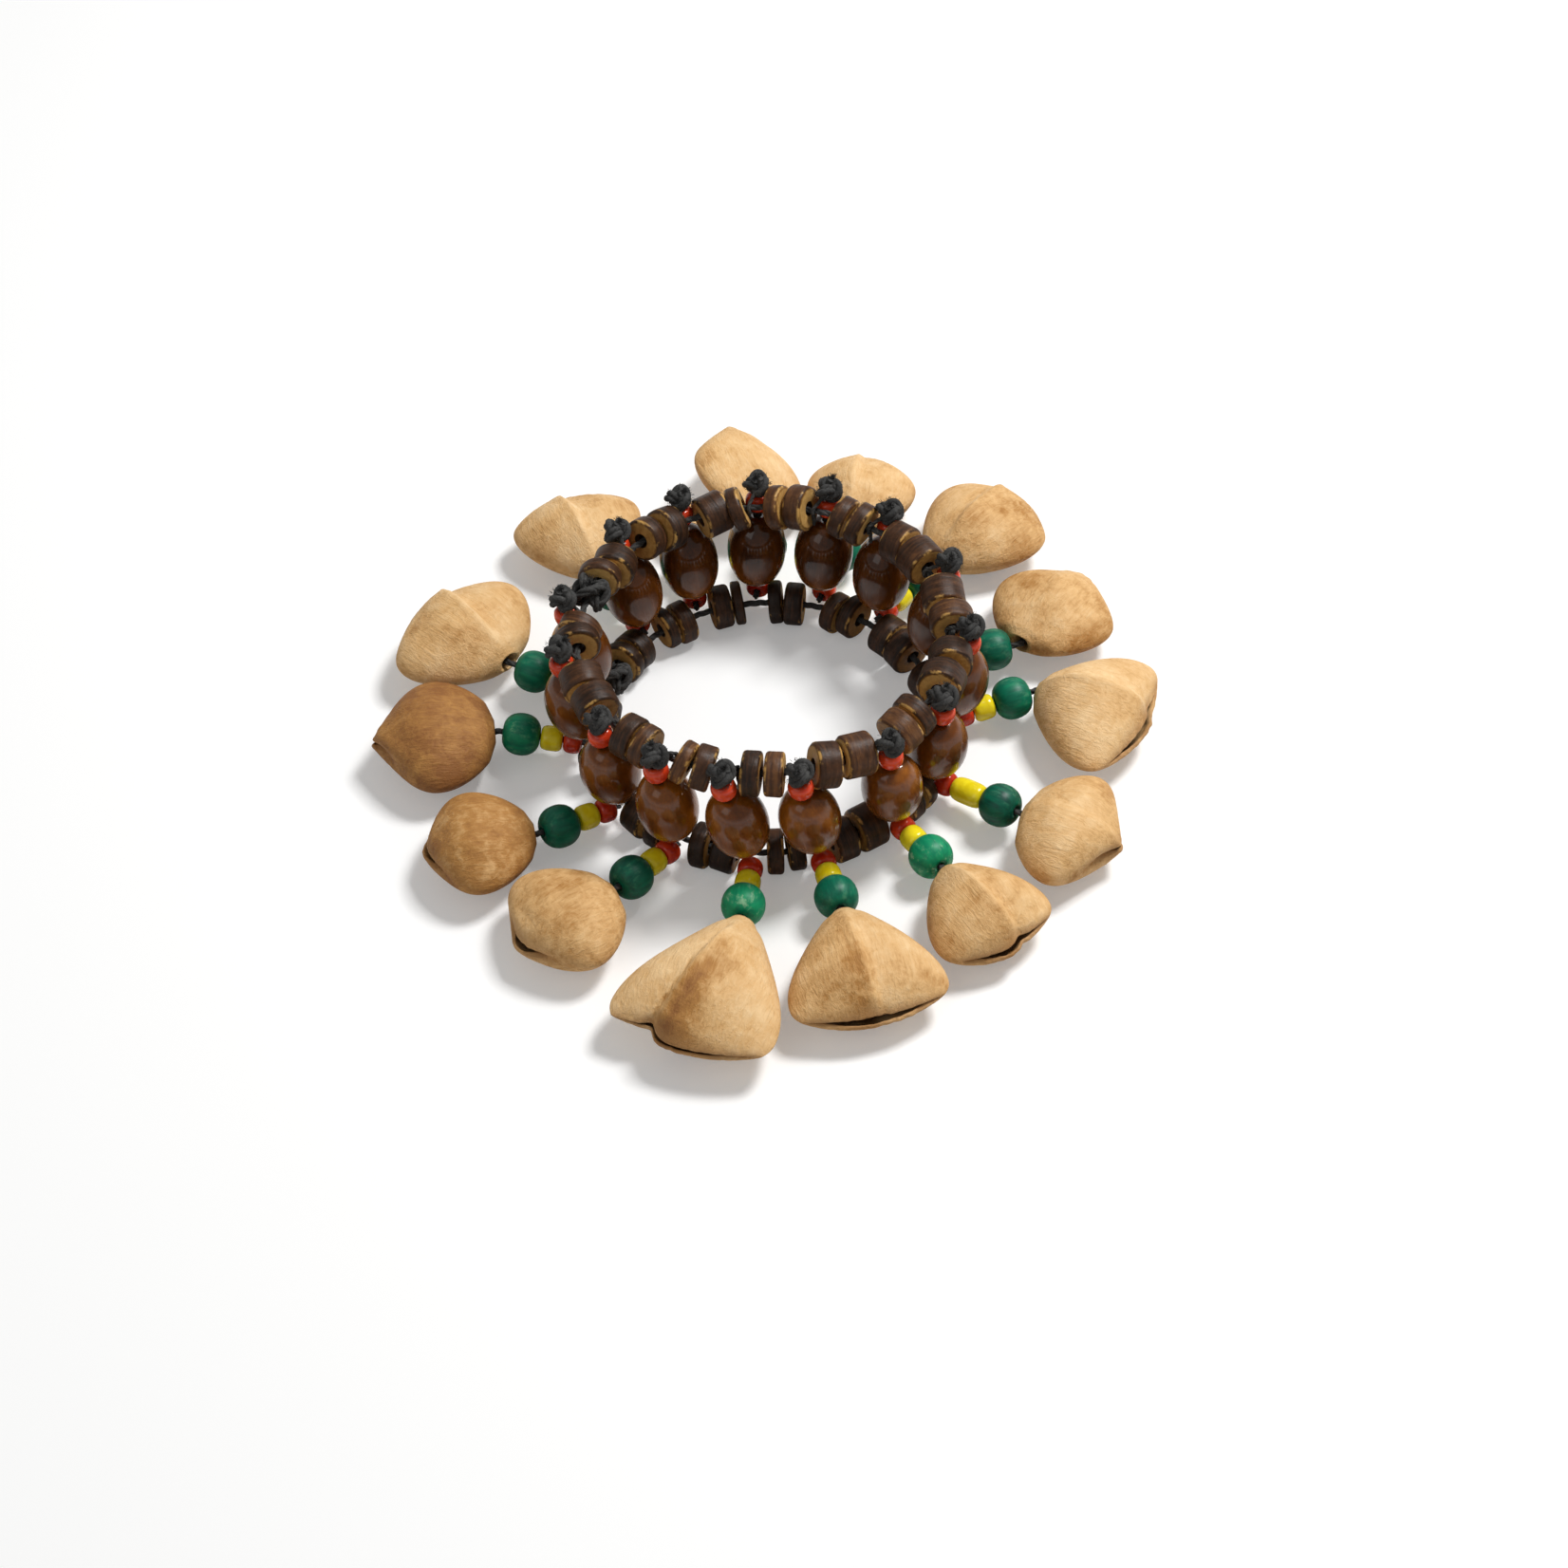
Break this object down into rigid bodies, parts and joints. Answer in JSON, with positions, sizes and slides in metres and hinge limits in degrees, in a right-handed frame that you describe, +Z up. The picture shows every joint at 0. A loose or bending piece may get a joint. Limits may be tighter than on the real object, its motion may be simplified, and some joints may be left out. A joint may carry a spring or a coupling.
{
  "type": "seed shaker bracelet",
  "caption": "Stretch bracelet of coconut discs and oval wooden beads on elastics, with hollow split seed pods hung all round on beaded cords that rattle when the wrist is shaken.",
  "frame": {"origin": "centre of the wrist opening, on the surface that the bracelet lies on", "axes": "+Z up along the axis of the wrist opening, -Y towards the front of the picture, +X to its right"},
  "size_m": [0.1416, 0.1546, 0.0337],
  "materials": {
    "pod_shell": "fibrous nut shell, satin",
    "oval_wood": "dark stain, gloss lacquer",
    "coco_disc": "coconut shell, satin",
    "red_glass": "opaque glass, gloss",
    "yellow_glass": "opaque glass, gloss",
    "green_wood": "dyed wood, satin",
    "black_cord": "twisted waxed cord"
  },
  "bodies": {
    "ring": {"upper_elastic": "black_cord", "lower_elastic": "black_cord", "upper_discs": "coco_disc", "lower_discs": "coco_disc", "oval_beads": "oval_wood", "top_red_beads": "red_glass", "upright_cords": "black_cord"},
    "strand_01": {"strand_beads_01": "green_wood", "strand_cord_01": "black_cord"},
    "pod_01": {"seed_pod_01": "pod_shell"},
    "strand_02": {"strand_beads_02": "green_wood", "strand_cord_02": "black_cord"},
    "pod_02": {"seed_pod_02": "pod_shell"},
    "strand_03": {"strand_beads_03": "green_wood", "strand_cord_03": "black_cord"},
    "pod_03": {"seed_pod_03": "pod_shell"},
    "strand_04": {"strand_beads_04": "green_wood", "strand_cord_04": "black_cord"},
    "pod_04": {"seed_pod_04": "pod_shell"},
    "strand_05": {"strand_beads_05": "green_wood", "strand_cord_05": "black_cord"},
    "pod_05": {"seed_pod_05": "pod_shell"},
    "strand_06": {"strand_beads_06": "green_wood", "strand_cord_06": "black_cord"},
    "pod_06": {"seed_pod_06": "pod_shell"},
    "strand_07": {"strand_beads_07": "green_wood", "strand_cord_07": "black_cord"},
    "pod_07": {"seed_pod_07": "pod_shell"},
    "strand_08": {"strand_beads_08": "green_wood", "strand_cord_08": "black_cord"},
    "pod_08": {"seed_pod_08": "pod_shell"},
    "strand_09": {"strand_beads_09": "green_wood", "strand_cord_09": "black_cord"},
    "pod_09": {"seed_pod_09": "pod_shell"},
    "strand_10": {"strand_beads_10": "green_wood", "strand_cord_10": "black_cord"},
    "pod_10": {"seed_pod_10": "pod_shell"},
    "strand_11": {"strand_beads_11": "green_wood", "strand_cord_11": "black_cord"},
    "pod_11": {"seed_pod_11": "pod_shell"},
    "strand_12": {"strand_beads_12": "green_wood", "strand_cord_12": "black_cord"},
    "pod_12": {"seed_pod_12": "pod_shell"},
    "strand_13": {"strand_beads_13": "green_wood", "strand_cord_13": "black_cord"},
    "pod_13": {"seed_pod_13": "pod_shell"},
    "strand_14": {"strand_beads_14": "green_wood", "strand_cord_14": "black_cord"},
    "pod_14": {"seed_pod_14": "pod_shell"},
    "strand_15": {"strand_beads_15": "green_wood", "strand_cord_15": "black_cord"},
    "pod_15": {"seed_pod_15": "pod_shell"}
  },
  "joints": [
    {"name": "strand_01_swing", "type": "hinge", "parent": "ring", "child": "strand_01", "pos_m": [-0.03218, -0.00452, 0.00395], "axis": [0.0698, 0.9976, 0], "range_deg": [-25, 15]},
    {"name": "pod_01_flop", "type": "hinge", "parent": "strand_01", "child": "pod_01", "pos_m": [-0.05057, -0.0037, 0.00623], "axis": [-0.1219, 0.9925, 0], "range_deg": [-10, 10]},
    {"name": "strand_02_swing", "type": "hinge", "parent": "ring", "child": "strand_02", "pos_m": [-0.02596, -0.01956, 0.00395], "axis": [-0.5299, 0.848, 0], "range_deg": [-25, 15]},
    {"name": "pod_02_flop", "type": "hinge", "parent": "strand_02", "child": "pod_02", "pos_m": [-0.04191, -0.02856, 0.00624], "axis": [-0.2079, 0.9781, 0], "range_deg": [-10, 10]},
    {"name": "strand_03_swing", "type": "hinge", "parent": "ring", "child": "strand_03", "pos_m": [-0.01526, -0.0287, 0.00395], "axis": [-0.766, 0.6428, 0], "range_deg": [-25, 15]},
    {"name": "pod_03_flop", "type": "hinge", "parent": "strand_03", "child": "pod_03", "pos_m": [-0.0275, -0.04257, 0.00624], "axis": [-0.6293, 0.7771, 0], "range_deg": [-10, 10]},
    {"name": "strand_04_swing", "type": "hinge", "parent": "ring", "child": "strand_04", "pos_m": [-0.00227, -0.03242, 0.00395], "axis": [-0.9945, 0.1045, 0], "range_deg": [-25, 15]},
    {"name": "pod_04_flop", "type": "hinge", "parent": "strand_04", "child": "pod_04", "pos_m": [-0.00511, -0.05388, 0.00669], "axis": [-0.9397, 0.342, 0], "range_deg": [-10, 10]},
    {"name": "strand_05_swing", "type": "hinge", "parent": "ring", "child": "strand_05", "pos_m": [0.0095, -0.03108, 0.00395], "axis": [-0.9703, -0.2419, 0], "range_deg": [-25, 15]},
    {"name": "pod_05_flop", "type": "hinge", "parent": "strand_05", "child": "pod_05", "pos_m": [0.01439, -0.0507, 0.00643], "axis": [-0.9703, -0.2419, 0], "range_deg": [-10, 10]},
    {"name": "strand_06_swing", "type": "hinge", "parent": "ring", "child": "strand_06", "pos_m": [0.02258, -0.02338, 0.00395], "axis": [-0.8572, -0.515, 0], "range_deg": [-25, 15]},
    {"name": "pod_06_flop", "type": "hinge", "parent": "strand_06", "child": "pod_06", "pos_m": [0.03235, -0.03948, 0.00621], "axis": [-0.8387, -0.5446, 0], "range_deg": [-10, 10]},
    {"name": "strand_07_swing", "type": "hinge", "parent": "ring", "child": "strand_07", "pos_m": [0.02945, -0.01374, 0.00395], "axis": [-0.5878, -0.809, 0], "range_deg": [-25, 15]},
    {"name": "pod_07_flop", "type": "hinge", "parent": "strand_07", "child": "pod_07", "pos_m": [0.04655, -0.02554, 0.00649], "axis": [-0.4067, -0.9135, 0], "range_deg": [-10, 10]},
    {"name": "strand_08_swing", "type": "hinge", "parent": "ring", "child": "strand_08", "pos_m": [0.0325, 0.00057, 0.00395], "axis": [0.2924, -0.9563, 0], "range_deg": [-25, 15]},
    {"name": "pod_08_flop", "type": "hinge", "parent": "strand_08", "child": "pod_08", "pos_m": [0.05037, 0.00432, 0.00628], "axis": [-0.4384, -0.8988, 0], "range_deg": [-10, 10]},
    {"name": "strand_09_swing", "type": "hinge", "parent": "ring", "child": "strand_09", "pos_m": [0.02896, 0.01476, 0.00395], "axis": [0.1392, -0.9903, 0], "range_deg": [-25, 15]},
    {"name": "pod_09_flop", "type": "hinge", "parent": "strand_09", "child": "pod_09", "pos_m": [0.04723, 0.01906, 0.00621], "axis": [0.809, -0.5878, 0], "range_deg": [-10, 10]},
    {"name": "strand_10_swing", "type": "hinge", "parent": "ring", "child": "strand_10", "pos_m": [0.01956, 0.02596, 0.00395], "axis": [0.7547, -0.6561, 0], "range_deg": [-25, 15]},
    {"name": "pod_10_flop", "type": "hinge", "parent": "strand_10", "child": "pod_10", "pos_m": [0.03237, 0.04056, 0.00628], "axis": [0.7314, -0.682, 0], "range_deg": [-10, 10]},
    {"name": "strand_11_swing", "type": "hinge", "parent": "ring", "child": "strand_11", "pos_m": [0.00896, 0.03124, 0.00395], "axis": [0.9397, -0.342, 0], "range_deg": [-25, 15]},
    {"name": "pod_11_flop", "type": "hinge", "parent": "strand_11", "child": "pod_11", "pos_m": [0.01517, 0.04951, 0.00619], "axis": [0.9848, -0.1736, 0], "range_deg": [-10, 10]},
    {"name": "strand_12_swing", "type": "hinge", "parent": "ring", "child": "strand_12", "pos_m": [-0.00283, 0.03238, 0.00395], "axis": [0.9877, -0.1564, 0], "range_deg": [-25, 15]},
    {"name": "pod_12_flop", "type": "hinge", "parent": "strand_12", "child": "pod_12", "pos_m": [-0.00086, 0.05251, 0.00655], "axis": [0.9336, 0.3584, 0], "range_deg": [-10, 10]},
    {"name": "strand_13_swing", "type": "hinge", "parent": "ring", "child": "strand_13", "pos_m": [-0.01374, 0.02945, 0.00395], "axis": [0.9877, 0.1564, 0], "range_deg": [-25, 15]},
    {"name": "pod_13_flop", "type": "hinge", "parent": "strand_13", "child": "pod_13", "pos_m": [-0.01624, 0.04762, 0.0056], "axis": [1, 0, 0], "range_deg": [-10, 10]},
    {"name": "strand_14_swing", "type": "hinge", "parent": "ring", "child": "strand_14", "pos_m": [-0.02298, 0.02298, 0.00395], "axis": [0.8387, 0.5446, 0], "range_deg": [-25, 15]},
    {"name": "pod_14_flop", "type": "hinge", "parent": "strand_14", "child": "pod_14", "pos_m": [-0.03302, 0.03944, 0.00626], "axis": [0.9397, 0.342, 0], "range_deg": [-10, 10]},
    {"name": "strand_15_swing", "type": "hinge", "parent": "ring", "child": "strand_15", "pos_m": [-0.03154, 0.00786, 0.00395], "axis": [0.342, 0.9397, 0], "range_deg": [-25, 15]},
    {"name": "pod_15_flop", "type": "hinge", "parent": "strand_15", "child": "pod_15", "pos_m": [-0.04926, 0.01523, 0.00633], "axis": [0.6561, 0.7547, 0], "range_deg": [-10, 10]}
  ]
}
